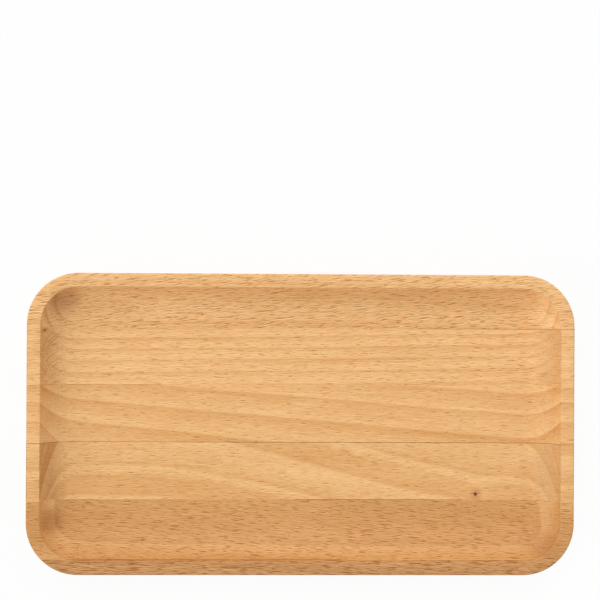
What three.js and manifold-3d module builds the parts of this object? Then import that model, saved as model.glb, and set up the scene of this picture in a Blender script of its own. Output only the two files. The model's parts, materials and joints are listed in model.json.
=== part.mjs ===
// Wooden serving tray, milled from one panel of edge-glued beech staves.
// Millimetres, +Z up. The origin is the centre of the underside, +X runs along
// the grain and +Y points to the back of the tray.

import * as THREE from 'three';
import { mergeVertices } from 'three/addons/utils/BufferGeometryUtils.js';
import Module from 'manifold-3d';

// Driving dimensions of the tray
const trayLength = 275;
const trayWidth = 151;
const trayHeight = 20;
const cornerRadius = 26;
const edgeRadius = 1;
const rimWidth = 6.9;
const floorThickness = 8;
const coveRadius = 17;
const leastFloorCorner = 1;

// Driving dimensions of the panel, whose staves are laid from the front edge
const frontStaveWidth = 7.7;
const staveWidth = 29;
const leastStaveWidth = 4;
const glueThickness = 0.2;

// Fineness of the round stretches
const cornerSegments = 10;
const edgeSegments = 4;
const coveSegments = 10;

// Colour of the wood, stave by stave from the front, and of the dried glue
const staveColours = [0xc5915d, 0xd19b63, 0xe3af76, 0xe6b277, 0xebb77d, 0xe2ad74];
const glueColour = 0x8f5f38;
const woodRoughness = 0.55;
const glueRoughness = 0.6;

// The recess: how far the cove reaches in from the rim, and the flat floor inside it
const recessDepth = trayHeight - floorThickness;
const coveReach = Math.sqrt(recessDepth * (2 * coveRadius - recessDepth));
const floorInset = rimWidth + coveReach;
const floorCornerRadius = Math.max(cornerRadius - floorInset, leastFloorCorner);

const wasm = await Module();
wasm.setup();

// A rectangle with round corners, centred on the origin
function roundedRectangle(length, width, radius) {
  const x = length / 2 - radius;
  const y = width / 2 - radius;
  const outline = new THREE.Shape();
  outline.absarc(x, y, radius, 0, Math.PI / 2);
  outline.absarc(-x, y, radius, Math.PI / 2, Math.PI);
  outline.absarc(-x, -y, radius, Math.PI, 1.5 * Math.PI);
  outline.absarc(x, -y, radius, 1.5 * Math.PI, 2 * Math.PI);
  return outline;
}

// The closed solid that a geometry encloses
function solidOf(geometry) {
  geometry.deleteAttribute('normal');
  geometry.deleteAttribute('uv');
  const merged = mergeVertices(geometry);
  return new wasm.Manifold(new wasm.Mesh({
    numProp: 3,
    vertProperties: new Float32Array(merged.attributes.position.array),
    triVerts: new Uint32Array(merged.index.array),
  }));
}

// The geometry of a solid, with flat-shaded faces
function geometryOf(solid) {
  const { vertProperties, triVerts } = solid.getMesh();
  const indexed = new THREE.BufferGeometry();
  indexed.setAttribute('position', new THREE.BufferAttribute(vertProperties, 3));
  indexed.setIndex(new THREE.BufferAttribute(triVerts, 1));
  const geometry = indexed.toNonIndexed();
  geometry.computeVertexNormals();
  return geometry;
}

// The panel cut to the tray's outline, with its outer edges rounded over
function trayBlank() {
  const outline = roundedRectangle(
    trayLength - 2 * edgeRadius,
    trayWidth - 2 * edgeRadius,
    cornerRadius - edgeRadius,
  );
  const blank = new THREE.ExtrudeGeometry(outline, {
    depth: trayHeight - 2 * edgeRadius,
    curveSegments: cornerSegments,
    bevelThickness: edgeRadius,
    bevelSize: edgeRadius,
    bevelSegments: edgeSegments,
  });
  blank.translate(0, 0, edgeRadius);
  return blank;
}

// The space that the bowl cutter clears: a flat floor with a round cove all about it
function recessCut() {
  const floorOutline = roundedRectangle(
    trayLength - 2 * floorInset,
    trayWidth - 2 * floorInset,
    floorCornerRadius,
  );
  const cut = new THREE.ExtrudeGeometry(floorOutline, {
    depth: trayHeight,
    curveSegments: cornerSegments,
    bevelThickness: coveRadius,
    bevelSize: coveRadius,
    bevelSegments: coveSegments,
  });
  cut.translate(0, 0, floorThickness + coveRadius);
  return cut;
}

// The part of the tray between two planes across its width
function sliceOf(tray, front, back) {
  const slab = new THREE.BoxGeometry(2 * trayLength, back - front, 4 * trayHeight);
  slab.translate(0, (front + back) / 2, 0);
  return geometryOf(tray.intersect(solidOf(slab)));
}

// The glue planes, from the front: full staves follow the front one, and the back
// stave is whatever width is left
function gluePlanes() {
  const backEdge = trayWidth / 2;
  const planes = [];
  let plane = frontStaveWidth - trayWidth / 2;
  while (backEdge - plane > leastStaveWidth) {
    planes.push(plane);
    plane += staveWidth;
  }
  return planes;
}

function wood(colour) {
  return new THREE.MeshStandardMaterial({ color: colour, roughness: woodRoughness, metalness: 0 });
}

function addPiece(group, name, geometry, material) {
  const mesh = new THREE.Mesh(geometry, material);
  mesh.name = name;
  group.add(mesh);
}

const tray = solidOf(trayBlank()).subtract(solidOf(recessCut()));
const planes = gluePlanes();
const halfGlue = glueThickness / 2;
const glue = new THREE.MeshStandardMaterial({
  color: glueColour,
  roughness: glueRoughness,
  metalness: 0,
});

const group = new THREE.Group();
for (let i = 0; i <= planes.length; i += 1) {
  const front = i === 0 ? -trayWidth : planes[i - 1] + halfGlue;
  const back = i === planes.length ? trayWidth : planes[i] - halfGlue;
  const colour = staveColours[i % staveColours.length];
  addPiece(group, `stave_${i + 1}`, sliceOf(tray, front, back), wood(colour));
}
planes.forEach((plane, i) => {
  const film = sliceOf(tray, plane - halfGlue, plane + halfGlue);
  addPiece(group, `glue_line_${i + 1}`, film, glue);
});

export default group;
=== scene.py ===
import json
import math

import bmesh
import bpy
from bpy.props import (
    CollectionProperty,
    FloatProperty,
    FloatVectorProperty,
    PointerProperty,
    StringProperty,
)
from mathutils import Color, Euler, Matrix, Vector


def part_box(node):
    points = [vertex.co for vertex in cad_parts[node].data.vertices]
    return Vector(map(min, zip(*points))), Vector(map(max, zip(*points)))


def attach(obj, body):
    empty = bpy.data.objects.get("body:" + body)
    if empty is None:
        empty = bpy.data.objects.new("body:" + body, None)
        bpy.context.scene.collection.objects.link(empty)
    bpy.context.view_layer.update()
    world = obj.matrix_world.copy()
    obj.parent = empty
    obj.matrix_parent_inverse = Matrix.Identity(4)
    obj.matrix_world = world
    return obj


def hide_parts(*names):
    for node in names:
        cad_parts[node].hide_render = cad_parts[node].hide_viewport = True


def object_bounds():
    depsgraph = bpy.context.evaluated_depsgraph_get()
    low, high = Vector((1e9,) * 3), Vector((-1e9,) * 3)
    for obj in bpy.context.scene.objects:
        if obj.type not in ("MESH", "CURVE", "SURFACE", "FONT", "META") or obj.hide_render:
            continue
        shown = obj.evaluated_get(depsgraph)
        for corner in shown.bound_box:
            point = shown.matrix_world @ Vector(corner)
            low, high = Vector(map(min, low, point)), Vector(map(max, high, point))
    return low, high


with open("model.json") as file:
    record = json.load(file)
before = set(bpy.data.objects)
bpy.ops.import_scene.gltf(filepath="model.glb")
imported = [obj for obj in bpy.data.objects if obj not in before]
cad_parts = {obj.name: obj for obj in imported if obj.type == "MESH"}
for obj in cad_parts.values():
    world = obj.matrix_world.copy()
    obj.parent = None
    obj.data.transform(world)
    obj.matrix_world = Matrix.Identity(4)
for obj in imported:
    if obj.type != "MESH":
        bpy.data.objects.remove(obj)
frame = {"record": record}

bl_info = {
    "name": "Beech Tray",
    "version": (1, 0, 0),
    "blender": (4, 5, 0),
    "location": "View3D > Sidebar > Beech Tray",
    "description": "A serving tray milled from a panel of edge-glued beech staves",
    "category": "Object",
}

CAD_LOW, CAD_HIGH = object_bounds()
CAD_SIZE = CAD_HIGH - CAD_LOW
MOUNTS = {mount["name"]: mount for mount in frame["record"]["mounts"]}
FLOOR_LEVEL = MOUNTS["recess_floor"]["pos_m"][2]
BODY = "root"
MM = 0.001
QUARTER_TURN = math.pi / 2

# Fineness of the mesh
COVE_STEPS = 28
CORNER_STEPS = 28
EDGE_STEPS = 8
ARRIS_STEPS = 3

# Angles past which an edge gets its arris, and past which it is shaded sharp
ARRIS_ANGLE = math.radians(50)
SHARP_ANGLE = math.radians(35)

# Flat wood drawn next to the rounds, how near points are merged or cut through, the
# least that the saw takes off, and the gap between the tray and the floor
FLAT_STRIP = 0.8 * MM
MERGE_DISTANCE = 0.001 * MM
CUT_DISTANCE = 0.0001 * MM
LEAST_CUT = 1 * MM
FLOOR_GAP = 0.1 * MM

# Grains of noise in each millimetre, along the log and across it. Those of the pores
# count out from the pith, round it and along it.
LONG_FIBRE = (0.05, 1.6, 1.6)
SHORT_FIBRE = (0.2, 2.0, 2.0)
TONE_DRIFT = (0.012, 0.09, 0.09)
PORE_GRAIN = (1.8, 1.8, 0.6)

# Slow and quick wander of the rings: its reach, then its grains along and across
WANDERS = ((2.0, 0.014, 0.05), (0.5, 0.05, 0.16))

# Parts of a year in which the wood changes, how much of its shade comes late in the
# year, and how much years differ
EARLY_WOOD = (0.0, 0.12)
DRY_SUMMER = (0.15, 0.45)
LATE_WOOD = (0.75, 0.98)
LATE_SHARE = 0.12
YEAR_LUCK = 0.35

# Ray flecks of two sizes. Spacing runs along the grain and across it, in millimetres,
# and length is a share of the board's own fleck length.
LARGE_FLECKS = dict(spacing=(8.2, 0.76, 1.0), length=1.0, half_width=0.17, seed=0.0)
SMALL_FLECKS = dict(spacing=(5.8, 0.54, 1.0), length=0.65, half_width=0.12, seed=7.3)
SMALL_FLECK_SHARE = 0.6

# How far flecks drift off their lines, how soft their edges are, how much single ones
# differ, and how many half widths the painted sheen, a pale band beside them, reaches
FLECK_DRIFT = 1.5
FLECK_EDGE = 0.5
LENGTH_LUCK = 0.6
WIDTH_LUCK = 0.4
DARK_LUCK = 0.45
PALE_REACH = 4.2

# Slopes over which side grain turns into end grain, and into a wall that the rays lie
# flat against, with what the flecks lose there
END_SLOPE = (0.15, 0.75)
WALL_SLOPE = (0.7, 0.9)
END_FLECK_LOSS = 0.5
WALL_FLECK_LOSS = 0.3

# Fine lines of growth on end grain, with their spacing and width in millimetres, and
# specks: how open the pores are for each to show, and how plain it is
GROWTH_SPACING = 1.3
GROWTH_WIDTH = 0.4
GROWTH_PORES = (0.35, 0.65)
GROWTH_SHARE = 0.8
SPECK_PORES = (0.45, 0.72)
SPECK_SHARE = 0.3

# Edges of a patch of painted shade, which drifts and fibres make ragged, and of a
# knot's heart and halo, in parts of their radius
STAIN_EDGE = (0.8, 1.6)
STAIN_DRIFT = 0.5
STAIN_FIBRE = 0.3
HEART_EDGE = (0.5, 1.3)
HALO_EDGE = (0.8, 5.0)
HALO_SHARE = 0.6
LEAST_RADIUS = 0.001

# How strongly fibres, slow drifts and the painted sheen beside flecks move the tone,
# and how far fibres fray the rings and the lift of a knot reaches, in millimetres
FIBRE_DEPTH = 1.8
DRIFT_DEPTH = 1.3
SHEEN_DEPTH = -0.75
RING_FRAY = 0.8
KNOT_REACH = 10.0

# Roughness of the polished wood, what fibres and flecks add to it, and their relief
ROUGHNESS = 0.42
FIBRE_ROUGHNESS = 0.06
FLECK_ROUGHNESS = 0.10
FIBRE_HEIGHT = 0.2
FLECK_HEIGHT = -0.6

# What the colour of the wood is multiplied by
# Painted shade, laid on patches in the coves and corners where shade falls
STAIN_SHADE = (0.64, 0.50, 0.41, 1.0)
FLECK_SHADE = (0.55, 0.36, 0.17, 1.0)
PORE_SHADE = (0.74, 0.66, 0.56, 1.0)
# End tone: end grain darker as oiled end grain is, with painted shade or painted light set end by
# end
END_SHADE = (0.82, 0.76, 0.70, 1.0)
END_TINT = (0.98, 1.02, 1.07, 1.0)
HALO_SHADE = (0.70, 0.56, 0.46, 1.0)
HEART_SHADE = (0.24, 0.13, 0.15, 1.0)

WHITE = (1.0, 1.0, 1.0, 1.0)
PAPER = (0.98, 0.98, 0.98, 1.0)

# What the wood takes over from a board as it is: numbers, places, and values in pairs
BOARD_NUMBERS = (
    "bow", "wander", "ring_width", "ring_start", "ring_curve", "ring_turns", "ring_strength",
    "ring_seed", "fleck_strength", "fleck_length", "fleck_width", "knot_lift", "knot_radius",
    "seed",
)
BOARD_PLACES = ("pith", "crook", "knot", "left_stain", "right_stain")
BOARD_PAIRS = ("end_rings", "ray_strength", "end_strength", "stain_radius", "stain_strength")

# The boards that the staves were ripped from, front to back. Pith is where the
# heart of the log lay, in millimetres from the middle of the tray's underside.
# Lean turns the log against the tray, bow bends it along its length, a crook moves
# it sideways between two places, and wander is how far its rings stray from true
# circles. A painted shade is a patch in a cove or corner, painted darker where shade
# falls. Values in pairs are for the left and the right end of the tray. The end tone
# darkens end grain, and its pair also paints shade or, below zero, light on each end;
# the end rays show plainer on the shaded ends, as painted shade of their relief.
BOARDS = [
    dict(
        name="stave_1", pale=(0.823, 0.608, 0.390), deep=(0.750, 0.530, 0.312),
        pith=(0.0, 0.0, 78.0), lean=(0.0, 0.0, -1.9), wander=1.5,
        ring_width=5.0, ring_start=0.30, ring_strength=0.5, ring_seed=1.0,
        fleck_strength=1.3, fleck_length=3.5, fleck_width=1.3, fleck_turn=-1.9, ray_tilt=-12.0,
        ray_strength=(0.1, 0.1), end_strength=(-0.3, -0.2), seed=1.7,
    ),
    dict(
        name="stave_2", pale=(0.896, 0.680, 0.436), deep=(0.829, 0.600, 0.358),
        pith=(0.0, -53.0, -160.0), lean=(0.0, 0.0, -5.6), wander=1.0,
        ring_width=10.5, ring_start=0.771, ring_strength=0.75, end_rings=(0.5, 0.5), ring_seed=13.4,
        fleck_strength=0.95, fleck_length=2.5, fleck_width=1.15, fleck_turn=-4.4, ray_tilt=-12.0,
        ray_strength=(0.3, 0.2), end_strength=(-0.5, -0.3), seed=5.2,
        left_stain=(-126.0, -50.0, 13.0), right_stain=(125.0, -62.0, 15.0),
        stain_radius=(9.5, 12.0), stain_strength=(0.75, 0.4),
    ),
    dict(
        name="stave_3", pale=(0.965, 0.766, 0.524), deep=(0.907, 0.682, 0.427),
        pith=(0.0, 57.9, 250.0), lean=(0.0, 0.749, 0.0), bow=0.0000357,
        crook=(9.96, -77.6, 109.4), wander=0.3, ring_width=5.22, ring_start=0.0915,
        ring_curve=1.6, ring_turns=0.9, ring_strength=0.85, end_rings=(0.3, -0.4), ring_seed=8.8,
        fleck_strength=0.68, fleck_length=1.9,
        ray_strength=(0.4, 0.3), end_strength=(1.2, 0.85), seed=9.1,
        knot=(89.2, -35.9, 8.0), knot_lift=1.2, knot_radius=0.95,
        right_stain=(119.0, -25.0, 9.5), stain_radius=(0.0, 11.0), stain_strength=(0.0, 0.2),
    ),
    dict(
        name="stave_4", pale=(0.980, 0.778, 0.538), deep=(0.922, 0.697, 0.446),
        pith=(0.0, -33.8, 43.0), lean=(0.0, -1.967, -2.975), bow=0.000061, wander=0.5,
        ring_width=8.523, ring_start=0.1875, ring_strength=1.2, ring_seed=17.5,
        fleck_strength=0.68, fleck_length=1.8,
        ray_strength=(0.2, 0.1), end_strength=(0.3, 0.0), seed=13.4,
    ),
    dict(
        name="stave_5", pale=(0.980, 0.775, 0.531), deep=(0.923, 0.687, 0.431),
        pith=(0.0, -36.0, 78.0), lean=(0.0, 0.0, 0.8), wander=0.6,
        ring_width=4.2, ring_start=0.68, ring_curve=3.0, ring_strength=0.8, end_rings=(-0.5, -0.5),
        ring_seed=28.5, fleck_strength=0.76, fleck_length=2.3, fleck_turn=0.8,
        ray_strength=(1.0, 0.25), end_strength=(0.85, 0.8), seed=17.8,
        knot=(-129.0, 46.6, 16.0), knot_radius=0.45,
        left_stain=(-129.0, 38.0, 16.0), stain_radius=(9.0, 0.0), stain_strength=(0.2, 0.0),
    ),
    dict(
        name="stave_6", pale=(0.974, 0.767, 0.524), deep=(0.908, 0.677, 0.424),
        pith=(0.0, 33.0, 44.0), lean=(0.0, 0.0, -0.5), bow=-0.000065, wander=0.5,
        ring_width=4.6, ring_start=0.25, ring_curve=3.0, ring_strength=0.5, end_rings=(1.2, 0.5),
        ring_seed=29.1,
        fleck_strength=1.18, fleck_length=3.1, fleck_width=1.05, fleck_turn=7.0, ray_tilt=12.0,
        ray_strength=(0.2, 0.1), end_strength=(0.15, -0.2), seed=21.3,
        left_stain=(-119.0, 62.5, 14.5), stain_radius=(10.5, 0.0), stain_strength=(0.6, 0.0),
    ),
]

# The glue lines, front to back. A line is dark from start to end, in millimetres
# along the tray, where its joint is a little open, and faint elsewhere.
GLUES = [
    dict(
        name="glue_line_1", dark=(0.67, 0.45, 0.20), faint=(0.93, 0.71, 0.46),
        start=-150.0, end=25.0, seed=0.0,
    ),
    dict(
        name="glue_line_2", dark=(0.35, 0.09, 0.01), faint=(0.90, 0.69, 0.45),
        start=-2.0, end=74.0, seed=3.0,
    ),
    dict(
        name="glue_line_3", dark=(0.38, 0.10, 0.01), faint=(0.58, 0.31, 0.06),
        start=-60.0, end=110.0, seed=6.0,
    ),
    dict(
        name="glue_line_4", dark=(0.76, 0.48, 0.14), faint=(0.97, 0.76, 0.50),
        start=-140.0, end=-65.0, seed=9.0,
    ),
    dict(
        name="glue_line_5", dark=(0.54, 0.20, 0.03), faint=(0.94, 0.72, 0.46),
        start=60.0, end=135.0, seed=12.0,
    ),
]


class TraySizes(bpy.types.PropertyGroup):
    """Sizes of the tray"""

    length: FloatProperty(
        name="Length", description="Along the grain",
        default=CAD_SIZE.x, unit="LENGTH",
    )
    width: FloatProperty(
        name="Width", description="Across the staves",
        default=CAD_SIZE.y, unit="LENGTH",
    )
    height: FloatProperty(
        name="Height", description="From the underside to the rim",
        default=CAD_SIZE.z, unit="LENGTH",
    )
    floor: FloatProperty(
        name="Floor", description="Height of the recess floor above the underside",
        default=FLOOR_LEVEL, unit="LENGTH",
    )
    corner_radius: FloatProperty(
        name="Corner radius", description="Round of the outer corners in plan",
        default=26 * MM, unit="LENGTH",
    )
    edge_radius: FloatProperty(
        name="Edge radius", description="Round of the outer edges, above and below",
        default=1 * MM, unit="LENGTH",
    )
    rim_width: FloatProperty(
        name="Rim width", description="From the outer wall to the recess",
        default=6.9 * MM, unit="LENGTH",
    )
    cove_radius: FloatProperty(
        name="Cove radius", description="Round between the recess wall and its floor",
        default=17 * MM, unit="LENGTH",
    )
    arris: FloatProperty(
        name="Arris", description="Sanded break on the inner edge of the rim",
        default=0.45 * MM, unit="LENGTH",
    )


class BoardLook(bpy.types.PropertyGroup):
    """Colour and figure of the board that one stave was ripped from"""

    name: StringProperty(name="Stave", description="Node that the board makes")
    pale: FloatVectorProperty(
        name="Pale wood", description="Colour of the early wood",
        size=3, subtype="COLOR_GAMMA", min=0.0, max=1.0, default=(0.92, 0.72, 0.49),
    )
    deep: FloatVectorProperty(
        name="Deep wood", description="Colour of the late wood",
        size=3, subtype="COLOR_GAMMA", min=0.0, max=1.0, default=(0.86, 0.65, 0.42),
    )
    pith: FloatVectorProperty(
        name="Pith", description="Heart of the log, in millimetres",
        size=3, subtype="TRANSLATION", default=(0.0, 0.0, 80.0),
    )
    lean: FloatVectorProperty(
        name="Lean", description="Turn of the log against the tray, in degrees",
        size=3, default=(0.0, 0.0, 0.0),
    )
    bow: FloatProperty(
        name="Bow", description="Bend of the log along its length, per millimetre",
        default=0.0, precision=5,
    )
    crook: FloatVectorProperty(
        name="Crook", description="Side step of the log, its start and its end, in millimetres",
        size=3, default=(0.0, -100.0, 100.0),
    )
    wander: FloatProperty(
        name="Wander", description="How far the rings stray, in millimetres", default=1.5,
    )
    ring_width: FloatProperty(
        name="Ring width", description="Growth in one year, in millimetres", default=6.0,
    )
    ring_start: FloatProperty(
        name="Ring start", description="Part of a year that the rings are moved by",
        default=0.0,
    )
    ring_curve: FloatProperty(
        name="Ring curve", description="How late in the year the wood darkens, 1 for evenly",
        default=0.8,
    )
    ring_turns: FloatProperty(
        name="Ring turns", description="How much sooner the wood darkens every other year",
        default=0.0, min=0.0, max=1.0,
    )
    ring_strength: FloatProperty(
        name="Ring strength", description="How plainly the rings show", default=0.8,
    )
    ring_seed: FloatProperty(
        name="Ring seed", description="Sets this board's good and bad years", default=0.0,
    )
    end_rings: FloatVectorProperty(
        name="End rings", description="How much plainer the rings are on each end's grain",
        size=2, default=(0.3, 0.3),
    )
    fleck_strength: FloatProperty(
        name="Fleck strength", description="How dark the ray flecks are", default=0.6,
    )
    fleck_length: FloatProperty(
        name="Fleck length", description="Half length of a long fleck, in millimetres",
        default=1.9,
    )
    fleck_width: FloatProperty(
        name="Fleck width", description="How wide the flecks are, 1 for a common ray",
        default=1.0,
    )
    fleck_turn: FloatProperty(
        name="Fleck turn", description="Turn of the flecks against the tray, in degrees",
        default=0.0,
    )
    knot: FloatVectorProperty(
        name="Knot", description="Middle of a pin knot, in millimetres",
        size=3, subtype="TRANSLATION", default=(0.0, 0.0, 0.0),
    )
    knot_lift: FloatProperty(
        name="Knot lift", description="How far the rings rise round the knot, in millimetres",
        default=0.0,
    )
    knot_radius: FloatProperty(
        name="Knot radius", description="Dark heart of the knot, in millimetres", default=0.0,
    )
    ray_tilt: FloatProperty(
        name="Ray tilt", description="Lean of the rays from upright, in degrees", default=0.0,
    )
    # End rays: real rays on end grain, drawn plainer on the shaded ends as painted shade of their
    # relief
    ray_strength: FloatVectorProperty(
        name="Ray strength", description="How plainly each end's grain shows its rays",
        size=2, default=(0.4, 0.4),
    )
    # End tone: darker oiled end grain, plus painted shade on shaded ends and painted light below
    # zero
    end_strength: FloatVectorProperty(
        name="End strength", description="How much darker each end's grain is",
        size=2, default=(0.2, 0.2),
    )
    # Painted shade: patches in the coves and corners painted darker where shade falls
    left_stain: FloatVectorProperty(
        name="Left stain", description="Middle of a darker patch on the left, in millimetres",
        size=3, subtype="TRANSLATION", default=(0.0, 0.0, 0.0),
    )
    right_stain: FloatVectorProperty(
        name="Right stain", description="Middle of a darker patch on the right, in millimetres",
        size=3, subtype="TRANSLATION", default=(0.0, 0.0, 0.0),
    )
    stain_radius: FloatVectorProperty(
        name="Stain radius", description="Reach of each patch, in millimetres",
        size=2, default=(0.0, 0.0),
    )
    stain_strength: FloatVectorProperty(
        name="Stain strength", description="How dark each patch is", size=2, default=(0.0, 0.0),
    )
    seed: FloatProperty(name="Seed", description="Sets this board apart", default=0.0)


class GlueLook(bpy.types.PropertyGroup):
    """Colour of one glue line"""

    name: StringProperty(name="Glue line", description="Node that the glue fills")
    dark: FloatVectorProperty(
        name="Dark", description="Where the joint is a little open",
        size=3, subtype="COLOR_GAMMA", min=0.0, max=1.0, default=(0.42, 0.25, 0.14),
    )
    faint: FloatVectorProperty(
        name="Faint", description="Where the joint is tight",
        size=3, subtype="COLOR_GAMMA", min=0.0, max=1.0, default=(0.8, 0.6, 0.4),
    )
    start: FloatProperty(
        name="Start", description="Left end of the dark part, in millimetres", default=-100.0,
    )
    end: FloatProperty(
        name="End", description="Right end of the dark part, in millimetres", default=100.0,
    )
    seed: FloatProperty(name="Seed", description="Sets this line apart", default=0.0)


class StageLook(bpy.types.PropertyGroup):
    """Light, floor and camera"""

    sky: FloatProperty(
        name="Sky", description="Light from all round", default=0.488, min=0.0,
    )
    side_lamp: FloatProperty(
        name="Side lamp", description="Light from the lamp on the left, on a white card",
        default=0.335, min=0.0,
    )
    side_from: FloatVectorProperty(
        name="Side from", description="Direction to the lamp on the left",
        size=3, subtype="XYZ", default=(-0.82, -0.36, 0.43),
    )
    back_lamp: FloatProperty(
        name="Back lamp", description="Light from the low lamp behind, on a white card",
        default=0.275, min=0.0,
    )
    back_from: FloatVectorProperty(
        name="Back from", description="Direction to the low lamp behind",
        size=3, subtype="XYZ", default=(0.44, 0.83, 0.35),
    )
    top_lamp: FloatProperty(
        name="Top lamp", description="Light from the lamp above, on a white card",
        default=0.27, min=0.0,
    )
    top_from: FloatVectorProperty(
        name="Top from", description="Direction to the lamp above",
        size=3, subtype="XYZ", default=(-0.18, 0.47, 0.86),
    )
    lamp_distance: FloatProperty(
        name="Lamp distance", description="From the tray to each lamp",
        default=12.0, unit="LENGTH",
    )
    lamp_size: FloatProperty(
        name="Lamp size", description="Side of each lamp", default=6.7, unit="LENGTH",
    )
    floor_size: FloatProperty(
        name="Floor size", description="Side of the floor", default=12.0, unit="LENGTH",
    )
    floor_glow: FloatProperty(
        name="Floor glow", description="How far the floor's shadows are lifted",
        default=0.93, min=0.0, max=1.0,
    )
    lens: FloatProperty(
        name="Lens", description="Focal length in millimetres", default=100.0,
    )
    camera_place: FloatVectorProperty(
        name="Camera", description="Place of the camera",
        size=3, subtype="TRANSLATION", unit="LENGTH",
        default=(-27.3 * MM, 57.7 * MM, 855.0 * MM),
    )
    camera_turn: FloatVectorProperty(
        name="Camera turn", description="Turn away from straight down",
        size=3, subtype="EULER",
        default=[math.radians(a) for a in (0.316, -1.794, 0.311)],
    )


def linear(colour):
    """The scene-linear RGBA of a colour given as it looks on screen."""
    return (*Color(colour).from_srgb_to_scene_linear(), 1.0)


# Mesh

def run(bm, vert, move):
    """Draws a straight edge on from a vertex and returns its far end."""
    end = bmesh.ops.extrude_vert_indiv(bm, verts=[vert])["verts"][0]
    bmesh.ops.translate(bm, verts=[end], vec=move)
    return end


def turn(bm, vert, centre, angle, steps):
    """Draws an arc on from a vertex, about an axis along X, and returns its far end."""
    drawn = bmesh.ops.spin(
        bm, geom=[vert], cent=centre, axis=(1, 0, 0), angle=angle, steps=steps,
    )
    return next(e for e in drawn["geom_last"] if isinstance(e, bmesh.types.BMVert))


def draw_section(bm, sizes):
    """Draws the section through the front wall, at the left end of its straight part."""
    x = sizes.corner_radius - sizes.length / 2
    y = -sizes.width / 2
    r = sizes.cove_radius
    depth = sizes.height - sizes.floor
    sweep = math.acos((r - depth) / r)
    floor_edge = y + sizes.rim_width + r * math.sin(sweep)
    edge = sizes.edge_radius
    vert = bm.verts.new((x, floor_edge + FLAT_STRIP, sizes.floor))
    vert = run(bm, vert, (0, -FLAT_STRIP, 0))
    vert = turn(bm, vert, (x, floor_edge, sizes.floor + r), -sweep, COVE_STEPS)
    vert = run(bm, vert, (0, edge - sizes.rim_width, 0))
    vert = turn(bm, vert, (x, y + edge, sizes.height - edge), QUARTER_TURN, EDGE_STEPS)
    vert = run(bm, vert, (0, 0, 2 * edge - sizes.height))
    vert = turn(bm, vert, (x, y + edge, edge), QUARTER_TURN, EDGE_STEPS)
    run(bm, vert, (0, FLAT_STRIP, 0))
    return list(bm.edges)


def sweep_straight(bm, edges, move):
    """Pulls a section along a straight side and returns its far end."""
    pulled = bmesh.ops.extrude_edge_only(bm, edges=edges)["geom"]
    verts = [e for e in pulled if isinstance(e, bmesh.types.BMVert)]
    bmesh.ops.translate(bm, verts=verts, vec=move)
    return [e for e in pulled if isinstance(e, bmesh.types.BMEdge)]


def sweep_corner(bm, edges, centre):
    """Turns a section round a corner of the tray and returns its far end."""
    verts = list({vert for edge in edges for vert in edge.verts})
    turned = bmesh.ops.spin(
        bm, geom=verts + edges, cent=centre, axis=(0, 0, 1),
        angle=QUARTER_TURN, steps=CORNER_STEPS,
    )
    return [e for e in turned["geom_last"] if isinstance(e, bmesh.types.BMEdge)]


def whole_tray(sizes):
    """The milled panel before it is told apart into staves."""
    bm = bmesh.new()
    edges = draw_section(bm, sizes)
    reach = Vector((
        sizes.length / 2 - sizes.corner_radius,
        sizes.width / 2 - sizes.corner_radius,
        0,
    ))
    for side, corner in (
        ((2, 0, 0), (1, -1, 0)),
        ((0, 2, 0), (1, 1, 0)),
        ((-2, 0, 0), (-1, 1, 0)),
        ((0, -2, 0), (-1, -1, 0)),
    ):
        edges = sweep_straight(bm, edges, reach * Vector(side))
        edges = sweep_corner(bm, edges, reach * Vector(corner))
    bmesh.ops.remove_doubles(bm, verts=bm.verts, dist=MERGE_DISTANCE)
    bmesh.ops.holes_fill(bm, edges=[e for e in bm.edges if e.is_boundary], sides=0)
    bmesh.ops.recalc_face_normals(bm, faces=bm.faces)
    rim_edges = [e for e in bm.edges if e.calc_face_angle(0.0) > ARRIS_ANGLE]
    bmesh.ops.bevel(
        bm, geom=rim_edges, offset=sizes.arris, offset_type="OFFSET", segments=ARRIS_STEPS,
        profile=0.5, affect="EDGES", material=-1,
    )
    return bm


def cut_across(bm, place, keep_front):
    """Saws the panel along X at one place and closes the cut face."""
    cut = bmesh.ops.bisect_plane(
        bm, geom=[*bm.verts, *bm.edges, *bm.faces], dist=CUT_DISTANCE,
        plane_co=(0, place, 0), plane_no=(0, 1, 0),
        clear_outer=keep_front, clear_inner=not keep_front,
    )
    edges = [e for e in cut["geom_cut"] if isinstance(e, bmesh.types.BMEdge)]
    bmesh.ops.holes_fill(bm, edges=edges, sides=0)


def slice_piece(tray, node, piece_name, material):
    """One stave or glue film, cut from the tray where the frame has its node."""
    low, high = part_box(node)
    bm = tray.copy()
    if high.y < CAD_HIGH.y - LEAST_CUT:
        cut_across(bm, high.y, True)
    if low.y > CAD_LOW.y + LEAST_CUT:
        cut_across(bm, low.y, False)
    bmesh.ops.recalc_face_normals(bm, faces=bm.faces)
    for face in bm.faces:
        face.smooth = True
    mesh = bpy.data.meshes.new(piece_name)
    bm.to_mesh(mesh)
    bm.free()
    mesh.set_sharp_from_angle(angle=SHARP_ANGLE)
    mesh.materials.append(material)
    piece = bpy.data.objects.new(piece_name, mesh)
    bpy.context.scene.collection.objects.link(piece)
    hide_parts(node)
    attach(piece, BODY)
    return piece


# Shader nodes

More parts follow.
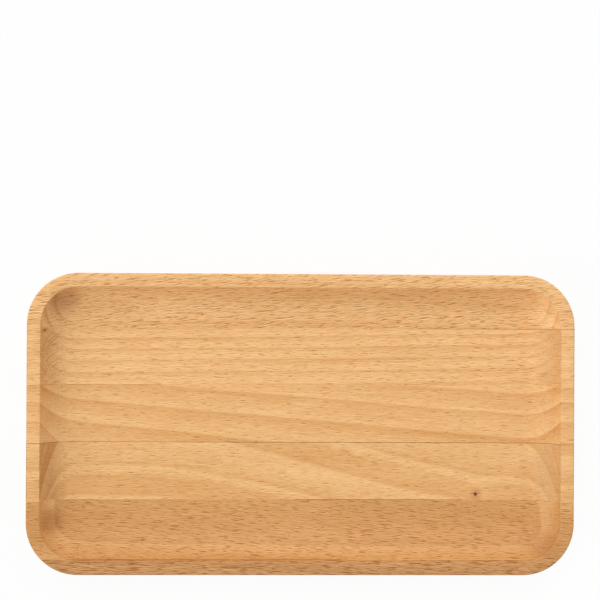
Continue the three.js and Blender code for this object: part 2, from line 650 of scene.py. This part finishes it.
class Sheet:
    """A node tree, and short ways to add nodes to it, in columns."""

    rows = 6
    pitch = Vector((220, -260))

    def __init__(self, tree):
        self.tree = tree
        self.count = 0

    def add(self, kind, inputs=None, **settings):
        """Adds a node, sets it up, and links or sets its inputs."""
        node = self.tree.nodes.new(kind)
        node.location = self.pitch * Vector(divmod(self.count, self.rows))
        self.count += 1
        for name, value in settings.items():
            setattr(node, name, value)
        for name, value in (inputs or {}).items():
            self.feed(node.inputs[name], value)
        return node

    def feed(self, socket, value):
        """Links a socket to another, or sets its value."""
        if isinstance(value, bpy.types.NodeSocket):
            self.tree.links.new(value, socket)
        else:
            socket.default_value = value

    def math(self, operation, *values, clamp=False):
        """A sum of one to three numbers."""
        node = self.add(
            "ShaderNodeMath", dict(enumerate(values)), operation=operation, use_clamp=clamp,
        )
        return node.outputs[0]

    def vector(self, operation, *values):
        """A sum of one or two vectors."""
        inputs = dict(enumerate(values))
        if operation == "SCALE":
            inputs = {0: values[0], "Scale": values[1]}
        node = self.add("ShaderNodeVectorMath", inputs, operation=operation)
        return node.outputs["Value" if operation in {"DOT_PRODUCT", "LENGTH"} else "Vector"]

    def split(self, vector):
        """The three parts of a vector."""
        return self.add("ShaderNodeSeparateXYZ", {0: vector}).outputs

    def join(self, x, y, z):
        """A vector of three parts."""
        return self.add("ShaderNodeCombineXYZ", {0: x, 1: y, 2: z}).outputs[0]

    def fade(self, value, low, high):
        """A smooth step from 0 at low to 1 at high."""
        node = self.add(
            "ShaderNodeMapRange", {"Value": value, "From Min": low, "From Max": high},
            interpolation_type="SMOOTHSTEP",
        )
        return node.outputs[0]

    def noise(self, vector, detail=2.0, roughness=0.5):
        """Fractal noise, one grain to each unit of the vector."""
        return self.add(
            "ShaderNodeTexNoise",
            {"Vector": vector, "Scale": 1.0, "Detail": detail, "Roughness": roughness},
        ).outputs

    def flip(self, value):
        """What is left of 1."""
        return self.math("SUBTRACT", 1.0, value)

    def swing(self, noise, reach):
        """A number about 1 that noise moves up and down."""
        return self.math("MULTIPLY_ADD", noise, 2 * reach, 1 - reach)

    def between(self, factor, low, high):
        """A number between two numbers."""
        return self.add("ShaderNodeMix", {0: factor, 2: low, 3: high}, data_type="FLOAT").outputs[0]

    def tint(self, factor, low, high, clamp=True):
        """A colour between two colours, or past them where that is wanted."""
        node = self.add("ShaderNodeMix", data_type="RGBA", clamp_factor=clamp)
        self.feed(node.inputs["Factor"], factor)
        self.feed(node.inputs[6], low)
        self.feed(node.inputs[7], high)
        return node.outputs[2]

    def darken(self, factor, colour, by, clamp=True):
        """A colour multiplied by another where the factor is 1."""
        node = self.add(
            "ShaderNodeMix", data_type="RGBA", blend_type="MULTIPLY", clamp_factor=clamp,
        )
        self.feed(node.inputs["Factor"], factor)
        self.feed(node.inputs[6], colour)
        self.feed(node.inputs[7], by)
        return node.outputs[2]


def new_group(name, inputs, outputs):
    """A node group with named sockets, and a sheet to draw it on."""
    tree = bpy.data.node_groups.new(name, "ShaderNodeTree")
    for in_out, sockets in (("INPUT", inputs), ("OUTPUT", outputs)):
        for socket, kind in sockets.items():
            tree.interface.new_socket(socket, in_out=in_out, socket_type=f"NodeSocket{kind}")
    sheet = Sheet(tree)
    return tree, sheet, sheet.add("NodeGroupInput").outputs


def close_group(sheet, values):
    """Ends a node group with the values that it puts out."""
    sheet.add("NodeGroupOutput", values)


def use_group(sheet, tree, inputs):
    """Places a node group and returns what it puts out."""
    node = sheet.add("ShaderNodeGroup", node_tree=tree)
    for name, value in inputs.items():
        sheet.feed(node.inputs[name], value)
    return node.outputs


def socket_name(name):
    """The name of the socket for a property of a board."""
    return name.replace("_", " ").title()


def log_point_group():
    """Where a point lay in its log: out from the pith, round it and along it, in mm."""
    tree, s, given = new_group(
        "Log Point",
        {
            "Point": "Vector", "Pith": "Vector", "Lean": "Vector", "Bow": "Float",
            "Crook": "Vector", "Wander": "Float", "Knot": "Vector", "Knot Lift": "Float",
            "Seed": "Float",
        },
        {"Out": "Float", "Round": "Float", "Along": "Float", "Straight": "Vector", "Knot": "Float"},
    )
    from_knot = s.vector("SUBTRACT", given["Point"], given["Knot"])
    knot_away = s.vector("LENGTH", s.vector("MULTIPLY", from_knot, (1.0, 1.0, 0.0)))
    hill = s.math("DIVIDE", knot_away, KNOT_REACH)
    hill = s.math("EXPONENT", s.math("MULTIPLY", s.math("MULTIPLY", hill, hill), -1.0))
    from_pith = s.vector("SUBTRACT", given["Point"], given["Pith"])
    turned = s.add(
        "ShaderNodeVectorRotate", {"Vector": from_pith, "Rotation": given["Lean"]},
        rotation_type="EULER_XYZ", invert=True,
    ).outputs[0]
    x, y, z = s.split(turned)
    bent = s.math("MULTIPLY_ADD", s.math("MULTIPLY", x, x), given["Bow"], z)
    step, step_start, step_end = s.split(given["Crook"])
    bent = s.math("MULTIPLY_ADD", s.fade(x, step_start, step_end), step, bent)
    bent = s.math("MULTIPLY_ADD", hill, given["Knot Lift"], bent)
    offset = s.join(given["Seed"], given["Seed"], given["Seed"])
    straight = s.join(x, y, bent)
    for reach, along, across in WANDERS:
        place = s.vector("MULTIPLY", turned, (along, across, across))
        drift = s.noise(s.vector("ADD", place, offset), detail=1.0)["Color"]
        drift = s.vector("SUBTRACT", drift, (0.5, 0.5, 0.5))
        drift = s.vector("SCALE", drift, s.math("MULTIPLY", given["Wander"], reach))
        _, drift_y, drift_z = s.split(drift)
        y = s.math("ADD", y, drift_y)
        bent = s.math("ADD", bent, drift_z)
    out = s.vector("LENGTH", s.join(0.0, y, bent))
    mean_out = s.vector("LENGTH", s.vector("MULTIPLY", given["Pith"], (0.0, 1.0, 1.0)))
    angle = s.math("ARCTAN2", bent, y)
    close_group(s, {
        "Out": out,
        "Round": s.math("MULTIPLY", angle, mean_out),
        "Along": x,
        "Straight": straight,
        "Knot": knot_away,
    })
    return tree


def ring_group():
    """Growth rings: wood darkens through the year and starts pale again."""
    tree, s, given = new_group(
        "Growth Rings",
        {
            "Out": "Float", "Width": "Float", "Start": "Float", "Curve": "Float",
            "Turns": "Float", "Seed": "Float",
        },
        {"Shade": "Float"},
    )
    years = s.math("ADD", s.math("DIVIDE", given["Out"], given["Width"]), given["Start"])
    season = s.math("FRACT", years)
    year = s.math("FLOOR", years)
    odd = s.math("FLOORED_MODULO", year, 2.0)
    luck = s.add(
        "ShaderNodeTexWhiteNoise", {"W": s.math("ADD", year, given["Seed"])},
        noise_dimensions="1D",
    ).outputs["Value"]
    late = s.fade(season, *LATE_WOOD)
    summer = s.math("POWER", season, given["Curve"])
    dry_summer = s.fade(season, *DRY_SUMMER)
    summer = s.between(s.math("MULTIPLY", odd, given["Turns"]), summer, dry_summer)
    summer = s.math("MULTIPLY", summer, 1 - LATE_SHARE)
    shade = s.math("MULTIPLY_ADD", late, LATE_SHARE, summer)
    early = s.flip(s.fade(season, *EARLY_WOOD))
    shade = s.math("MAXIMUM", shade, early)
    close_group(s, {"Shade": s.math("MULTIPLY", shade, s.swing(luck, YEAR_LUCK))})
    return tree


def fleck_group():
    """Dark spindles scattered one way along the wood, and a painted sheen beside them."""
    tree, s, given = new_group(
        "Ray Flecks",
        {
            "Along": "Float", "Across": "Float", "Spacing": "Vector",
            "Half Length": "Float", "Half Width": "Float", "Seed": "Float",
        },
        {"Dark": "Float", "Pale": "Float"},
    )
    shift = s.join(given["Seed"], given["Seed"], 0.0)
    place = s.join(given["Along"], given["Across"], 0.0)
    cell = s.vector("ADD", s.vector("DIVIDE", place, given["Spacing"]), shift)
    spot = s.add(
        "ShaderNodeTexVoronoi", {"Vector": cell, "Scale": 1.0, "Detail": 0.0},
        feature="F1", voronoi_dimensions="2D",
    ).outputs
    away = s.vector("MULTIPLY", s.vector("SUBTRACT", cell, spot["Position"]), given["Spacing"])
    along_away, across_away, _ = s.split(away)
    luck_length, luck_width, luck_dark = s.split(spot["Color"])
    half_length = s.math("MULTIPLY", given["Half Length"], s.swing(luck_length, LENGTH_LUCK))
    half_width = s.math("MULTIPLY", given["Half Width"], s.swing(luck_width, WIDTH_LUCK))
    along = s.math("DIVIDE", along_away, half_length)
    across = s.math("ABSOLUTE", s.math("DIVIDE", across_away, half_width))
    reach = s.flip(s.math("MULTIPLY", along, along))
    dark = s.fade(s.math("SUBTRACT", reach, across), 0.0, FLECK_EDGE)
    # Painted sheen: a pale band painted along each fleck's sides
    across = s.math("DIVIDE", across, PALE_REACH)
    beside = s.fade(s.math("SUBTRACT", reach, across), 0.0, FLECK_EDGE)
    strength = s.swing(luck_dark, DARK_LUCK)
    close_group(s, {
        "Dark": s.math("MULTIPLY", dark, strength),
        "Pale": s.math("MULTIPLY", s.math("SUBTRACT", beside, dark, clamp=True), strength),
    })
    return tree


def beech_group(log_point, rings, flecks):
    """Oiled beech, solid all through: its colour, roughness and height."""
    tree, s, given = new_group(
        "Oiled Beech",
        {
            "Point": "Vector", "Facing": "Vector", "Pale": "Color", "Deep": "Color",
            "Lean": "Vector", "Ray Along": "Vector", "Ray Across": "Vector",
            **{socket_name(name): "Float" for name in BOARD_NUMBERS},
            **{socket_name(name): "Vector" for name in BOARD_PLACES + BOARD_PAIRS},
        },
        {"Color": "Color", "Roughness": "Float", "Height": "Float"},
    )
    seed = given["Seed"]
    shift = s.join(seed, seed, seed)
    place = use_group(s, log_point, {
        name: given[name]
        for name in (
            "Point", "Pith", "Lean", "Bow", "Crook", "Wander", "Knot", "Knot Lift", "Seed",
        )
    })
    out, straight = place["Out"], place["Straight"]

    # Where the surface cuts across the fibres
    grain_way = s.add(
        "ShaderNodeVectorRotate", {"Vector": (1.0, 0.0, 0.0), "Rotation": given["Lean"]},
        rotation_type="EULER_XYZ",
    ).outputs[0]
    slope = s.math("ABSOLUTE", s.vector("DOT_PRODUCT", given["Facing"], grain_way))
    end_grain = s.fade(slope, *END_SLOPE)
    side_grain = s.flip(s.math("MULTIPLY", end_grain, END_FLECK_LOSS))
    right_end = s.math("GREATER_THAN", s.split(given["Point"])[0], 0.0)
    end_rings, ray_strength, end_strength, stain_radius, stain_strength = (
        s.between(right_end, *s.split(given[socket_name(name)])[:2]) for name in BOARD_PAIRS
    )

    # Fibres, long and short, and slow drifts of tone
    long_fibre, short_fibre, drift = (
        s.noise(s.vector("ADD", s.vector("MULTIPLY", straight, grain), shift))["Fac"]
        for grain in (LONG_FIBRE, SHORT_FIBRE, TONE_DRIFT)
    )
    fibre = s.math("ADD", long_fibre, short_fibre)
    uneven = s.math("SUBTRACT", fibre, 1.0)
    frayed_out = s.math("MULTIPLY_ADD", uneven, RING_FRAY, out)
    shade = use_group(s, rings, {
        "Out": frayed_out, "Width": given["Ring Width"], "Start": given["Ring Start"],
        "Curve": given["Ring Curve"], "Turns": given["Ring Turns"],
        "Seed": given["Ring Seed"],
    })["Shade"]
    depth = s.math("MULTIPLY", shade, given["Ring Strength"])
    plainer = s.math("MULTIPLY_ADD", end_grain, end_rings, 1.0)
    depth = s.math("MULTIPLY", depth, plainer)
    depth = s.math("MULTIPLY_ADD", uneven, FIBRE_DEPTH, depth)
    depth = s.math("MULTIPLY_ADD", s.math("SUBTRACT", drift, 0.5), DRIFT_DEPTH, depth)

    # Painted shade: a patch with ragged edges, darker where shade falls in a cove or corner
    from_left = s.vector("SUBTRACT", given["Right Stain"], given["Left Stain"])
    middle = s.vector("ADD", given["Left Stain"], s.vector("SCALE", from_left, right_end))
    stain_away = s.vector("LENGTH", s.vector("SUBTRACT", given["Point"], middle))
    stain_radius = s.math("MAXIMUM", stain_radius, LEAST_RADIUS)
    ragged = s.math("MULTIPLY", fibre, STAIN_FIBRE)
    ragged = s.math("ADD", s.math("MULTIPLY", drift, STAIN_DRIFT), ragged)
    stain_away = s.math("ADD", s.math("DIVIDE", stain_away, stain_radius), ragged)
    stain = s.flip(s.fade(stain_away, *STAIN_EDGE))
    stain = s.math("MULTIPLY", stain, stain_strength)

    # Ray flecks of two sizes, on the faces along the grain, told apart by their height
    # on a wall that the rays lie flat against
    along = s.vector("DOT_PRODUCT", given["Point"], given["Ray Along"])
    across = s.vector("DOT_PRODUCT", given["Point"], given["Ray Across"])
    wall = s.vector("DOT_PRODUCT", given["Facing"], given["Ray Across"])
    wall = s.fade(s.math("MULTIPLY", wall, wall), *WALL_SLOPE)
    across = s.between(wall, across, s.split(given["Point"])[2])
    across = s.math("MULTIPLY_ADD", drift, FLECK_DRIFT, across)
    large, small = (
        use_group(s, flecks, {
            "Along": along, "Across": across, "Spacing": size["spacing"],
            "Half Length": s.math("MULTIPLY", given["Fleck Length"], size["length"]),
            "Half Width": s.math("MULTIPLY", given["Fleck Width"], size["half_width"]),
            "Seed": s.math("ADD", seed, size["seed"]),
        })
        for size in (LARGE_FLECKS, SMALL_FLECKS)
    )
    fleck, sheen = (
        s.math("MAXIMUM", large[name], s.math("MULTIPLY", small[name], SMALL_FLECK_SHARE))
        for name in ("Dark", "Pale")
    )
    strength = s.math("MULTIPLY", side_grain, given["Fleck Strength"])
    strength = s.math("MULTIPLY", strength, s.flip(s.math("MULTIPLY", wall, WALL_FLECK_LOSS)))
    fleck = s.math("MULTIPLY", fleck, strength, clamp=True)
    sheen = s.math("MULTIPLY", sheen, strength)
    # Painted sheen: the wood beside each fleck painted paler
    depth = s.math("MULTIPLY_ADD", sheen, SHEEN_DEPTH, depth)
    colour = s.tint(depth, given["Pale"], given["Deep"], clamp=False)
    # Painted shade, darkening the patches in the coves and corners
    colour = s.darken(stain, colour, STAIN_SHADE)
    colour = s.darken(fleck, colour, FLECK_SHADE)

    # End grain shows the rays as fine lines out from the pith, with lines of growth
    # across them, and its pores as specks
    rays = use_group(s, flecks, {
        "Along": out, "Across": place["Round"], "Spacing": (4.5, 1.3, 1.0),
        "Half Length": 2.4, "Half Width": 0.22, "Seed": seed,
    })["Dark"]
    solid = s.join(out, place["Round"], place["Along"])
    pores = s.noise(s.vector("MULTIPLY", solid, PORE_GRAIN))["Fac"]
    growth = s.math("PINGPONG", frayed_out, GROWTH_SPACING)
    growth = s.flip(s.fade(growth, 0.0, GROWTH_WIDTH))
    growth = s.math("MULTIPLY", growth, s.fade(pores, *GROWTH_PORES))
    rays = s.math("MAXIMUM", rays, s.math("MULTIPLY", growth, GROWTH_SHARE))
    # Real rays, drawn plainer on ends that face away from the light as painted shade of their
    # relief
    rays = s.math("MULTIPLY", rays, ray_strength)
    speckle = s.math("MULTIPLY", s.fade(pores, *SPECK_PORES), SPECK_SHARE)
    speckle = s.math("MULTIPLY", s.math("MAXIMUM", speckle, rays), end_grain)
    colour = s.darken(speckle, colour, PORE_SHADE)
    # End grain darkened as oiled end grain is, and also painted shade on ends that face away from
    # the light, and painted light where the value is below zero
    end_shade = s.math("MULTIPLY", end_grain, end_strength)
    colour = s.darken(end_shade, colour, END_SHADE, clamp=False)
    colour = s.darken(end_grain, colour, END_TINT)

    # A pin knot
    knot_radius = s.math("MAXIMUM", given["Knot Radius"], LEAST_RADIUS)
    near = s.math("DIVIDE", place["Knot"], knot_radius)
    heart = s.flip(s.fade(near, *HEART_EDGE))
    halo = s.math("MULTIPLY", s.flip(s.fade(near, *HALO_EDGE)), HALO_SHARE)
    colour = s.darken(halo, colour, HALO_SHADE)
    colour = s.darken(heart, colour, HEART_SHADE)

    # Polish and relief
    rough = s.math("MULTIPLY_ADD", fibre, FIBRE_ROUGHNESS, ROUGHNESS)
    rough = s.math("MULTIPLY_ADD", fleck, FLECK_ROUGHNESS, rough)
    height = s.math("MULTIPLY", fibre, FIBRE_HEIGHT)
    height = s.math("MULTIPLY_ADD", fleck, FLECK_HEIGHT, height)
    close_group(s, {"Color": colour, "Roughness": rough, "Height": height})
    return tree


def empty_sheet(owner):
    """The emptied node tree of a material or a world."""
    owner.use_nodes = True
    owner.node_tree.nodes.clear()
    return Sheet(owner.node_tree)


def new_material(name):
    """A material, the sheet of its nodes and its shader."""
    material = bpy.data.materials.new(name)
    sheet = empty_sheet(material)
    shader = sheet.add("ShaderNodeBsdfPrincipled")
    sheet.add("ShaderNodeOutputMaterial", {"Surface": shader.outputs[0]})
    return material, sheet, shader


def object_point(sheet):
    """Object coordinates in millimetres."""
    place = sheet.add("ShaderNodeTexCoord").outputs["Object"]
    return sheet.add(
        "ShaderNodeMapping", {"Vector": place, "Scale": (1 / MM, 1 / MM, 1 / MM)},
    ).outputs[0]


def beech_material(board, beech):
    """The oiled beech of one stave."""
    material, s, shader = new_material(f"beech_{board.name}")
    fleck_turn = math.radians(board.fleck_turn)
    ray_tilt = math.radians(board.ray_tilt)
    ray_along = Vector((math.cos(fleck_turn), math.sin(fleck_turn), 0.0))
    ray_across = Vector((-ray_along.y, ray_along.x, 0.0)) * math.cos(ray_tilt)
    ray_across.z = math.sin(ray_tilt)
    wood = use_group(s, beech, {
        "Point": object_point(s),
        "Facing": s.add("ShaderNodeTexCoord").outputs["Normal"],
        "Pale": linear(board.pale),
        "Deep": linear(board.deep),
        "Lean": tuple(math.radians(a) for a in board.lean),
        "Ray Along": ray_along,
        "Ray Across": ray_across,
        **{socket_name(name): getattr(board, name) for name in BOARD_NUMBERS},
        **{socket_name(name): tuple(getattr(board, name)) for name in BOARD_PLACES},
        **{socket_name(name): (*getattr(board, name), 0.0) for name in BOARD_PAIRS},
    })
    bump = s.add(
        "ShaderNodeBump", {"Height": wood["Height"], "Strength": 0.25, "Distance": 0.06 * MM},
    )
    s.feed(shader.inputs["Base Color"], wood["Color"])
    s.feed(shader.inputs["Roughness"], wood["Roughness"])
    s.feed(shader.inputs["Normal"], bump.outputs[0])
    shader.inputs["Specular IOR Level"].default_value = 0.25
    return material


def glue_material(look):
    """Dried glue, sanded flush with the wood, dark where the joint is a little open."""
    material, s, shader = new_material(look.name)
    grain = (0.08, 0.5, 0.5)
    ragged_reach = 40.0
    fade_reach = 4.0
    patchy = 1.6
    filled = 0.85
    point = object_point(s)
    place = s.vector("ADD", s.vector("MULTIPLY", point, grain), (look.seed, 0.0, 0.0))
    uneven = s.math("SUBTRACT", s.noise(place, detail=3.0)["Fac"], 0.5)
    along = s.math("MULTIPLY_ADD", uneven, ragged_reach, s.split(point)[0])
    begun = s.fade(along, look.start - fade_reach, look.start + fade_reach)
    over = s.fade(along, look.end - fade_reach, look.end + fade_reach)
    dark = s.math("SUBTRACT", begun, over, clamp=True)
    dark = s.math("MULTIPLY", dark, s.math("MULTIPLY_ADD", uneven, patchy, filled), clamp=True)
    colour = s.tint(dark, linear(look.faint), linear(look.dark))
    s.feed(shader.inputs["Base Color"], colour)
    shader.inputs["Roughness"].default_value = 0.55
    shader.inputs["Specular IOR Level"].default_value = 0.1
    return material


# Stage

def seen_rays(sheet):
    """1 for rays that show the backdrop, straight or in gloss or glass, and 0 for others."""
    path = sheet.add("ShaderNodeLightPath").outputs
    seen = sheet.math("MAXIMUM", path["Is Camera Ray"], path["Is Glossy Ray"])
    return sheet.math("MAXIMUM", seen, path["Is Transmission Ray"])


def floor_material(glow):
    """White floor that shows soft shadows to the camera."""
    material = bpy.data.materials.new("floor_white")
    s = empty_sheet(material)
    paper = s.add("ShaderNodeBsdfDiffuse", {"Color": PAPER}).outputs[0]
    light = s.add("ShaderNodeEmission", {"Strength": 1.0}).outputs[0]
    factor = s.math("MULTIPLY", seen_rays(s), glow)
    mixed = s.add("ShaderNodeMixShader", {0: factor, 1: paper, 2: light}).outputs[0]
    s.add("ShaderNodeOutputMaterial", {"Surface": mixed})
    return material


def light_world(sky):
    """White backdrop for the camera, with plain light for the tray."""
    world = bpy.data.worlds.new("studio")
    bpy.context.scene.world = world
    s = empty_sheet(world)
    strength = s.math("MULTIPLY_ADD", seen_rays(s), 1.0 - sky, sky)
    background = s.add(
        "ShaderNodeBackground", {"Color": WHITE, "Strength": strength},
    ).outputs[0]
    s.add("ShaderNodeOutputWorld", {"Surface": background})


def add_lamp(name, look, brightness, direction):
    """A large soft lamp, as bright as said on a white card that faces it."""
    light = bpy.data.lights.new(name, "AREA")
    light.size = look.lamp_size
    light.energy = brightness * (math.pi * look.lamp_distance) ** 2
    lamp = bpy.data.objects.new(name, light)
    way = Vector(direction).normalized()
    lamp.location = way * look.lamp_distance
    lamp.rotation_euler = way.to_track_quat("Z", "Y").to_euler()
    bpy.context.scene.collection.objects.link(lamp)


def add_camera(look):
    """Looks down on the tray from well above."""
    lens = bpy.data.cameras.new("camera")
    lens.lens = look.lens
    lens.clip_start = 0.01
    camera = bpy.data.objects.new("camera", lens)
    camera.location = look.camera_place
    camera.rotation_euler = Euler(look.camera_turn, "XYZ")
    bpy.context.scene.collection.objects.link(camera)
    bpy.context.scene.camera = camera


def add_floor(look):
    """A plain white floor."""
    bm = bmesh.new()
    bmesh.ops.create_grid(bm, x_segments=1, y_segments=1, size=look.floor_size / 2)
    bmesh.ops.translate(bm, verts=bm.verts, vec=(0, 0, CAD_LOW.z - FLOOR_GAP))
    mesh = bpy.data.meshes.new("floor")
    bm.to_mesh(mesh)
    bm.free()
    mesh.materials.append(floor_material(look.floor_glow))
    floor = bpy.data.objects.new("floor", mesh)
    bpy.context.scene.collection.objects.link(floor)


# Operators

class TRAY_OT_pick_boards(bpy.types.Operator):
    """List the boards that the staves are ripped from, and the glue between them"""

    bl_idname = "tray.pick_boards"
    bl_label = "Pick Boards"

    def execute(self, context):
        scene = context.scene
        for looks, choices in ((scene.tray_boards, BOARDS), (scene.tray_glues, GLUES)):
            looks.clear()
            for chosen in choices:
                look = looks.add()
                for name, value in chosen.items():
                    setattr(look, name, value)
        return {"FINISHED"}


class TRAY_OT_build_staves(bpy.types.Operator):
    """Mill the tray and cut it into its beech staves"""

    bl_idname = "tray.build_staves"
    bl_label = "Build Staves"

    def execute(self, context):
        tray = whole_tray(context.scene.tray_sizes)
        beech = beech_group(log_point_group(), ring_group(), fleck_group())
        for board in context.scene.tray_boards:
            material = beech_material(board, beech)
            piece = slice_piece(tray, board.name, f"{board.name}_beech", material)
        tray.free()
        return {"FINISHED"}


class TRAY_OT_build_glue(bpy.types.Operator):
    """Fill the joints between the staves with glue"""

    bl_idname = "tray.build_glue"
    bl_label = "Build Glue Lines"

    def execute(self, context):
        tray = whole_tray(context.scene.tray_sizes)
        for look in context.scene.tray_glues:
            piece = slice_piece(tray, look.name, f"{look.name}_film", glue_material(look))
        tray.free()
        return {"FINISHED"}


class TRAY_OT_build_stage(bpy.types.Operator):
    """Set up the floor, the light and the camera"""

    bl_idname = "tray.build_stage"
    bl_label = "Build Stage"

    def execute(self, context):
        look = context.scene.tray_stage
        context.scene.view_settings.view_transform = "Standard"
        light_world(look.sky)
        add_lamp("side_lamp", look, look.side_lamp, look.side_from)
        add_lamp("back_lamp", look, look.back_lamp, look.back_from)
        add_lamp("top_lamp", look, look.top_lamp, look.top_from)
        add_floor(look)
        add_camera(look)
        return {"FINISHED"}


class TRAY_PT_panel(bpy.types.Panel):
    """Sizes, colours and steps of the tray"""

    bl_idname = "TRAY_PT_panel"
    bl_label = "Beech Tray"
    bl_space_type = "VIEW_3D"
    bl_region_type = "UI"
    bl_category = "Beech Tray"

    def draw(self, context):
        scene = context.scene
        groups = [scene.tray_sizes, *scene.tray_boards, *scene.tray_glues, scene.tray_stage]
        for group in groups:
            box = self.layout.box()
            for name in group.__annotations__:
                box.prop(group, name)
        for step in STEPS:
            self.layout.operator(step.bl_idname)


STEPS = (
    TRAY_OT_build_stage,
    TRAY_OT_pick_boards,
    TRAY_OT_build_staves,
    TRAY_OT_build_glue,
)
CLASSES = (TraySizes, BoardLook, GlueLook, StageLook, *STEPS, TRAY_PT_panel)


def register():
    """Adds the tray's classes, and its looks to the scene."""
    for cls in CLASSES:
        bpy.utils.register_class(cls)
    bpy.types.Scene.tray_sizes = PointerProperty(type=TraySizes)
    bpy.types.Scene.tray_boards = CollectionProperty(type=BoardLook)
    bpy.types.Scene.tray_glues = CollectionProperty(type=GlueLook)
    bpy.types.Scene.tray_stage = PointerProperty(type=StageLook)


def unregister():
    """Takes out what register added."""
    del bpy.types.Scene.tray_stage
    del bpy.types.Scene.tray_glues
    del bpy.types.Scene.tray_boards
    del bpy.types.Scene.tray_sizes
    for cls in reversed(CLASSES):
        bpy.utils.unregister_class(cls)


def main():
    """Builds the tray and its stage."""
    register()
    bpy.ops.tray.build_stage()
    bpy.ops.tray.pick_boards()
    bpy.ops.tray.build_staves()
    bpy.ops.tray.build_glue()


if __name__ == "__main__":
    main()
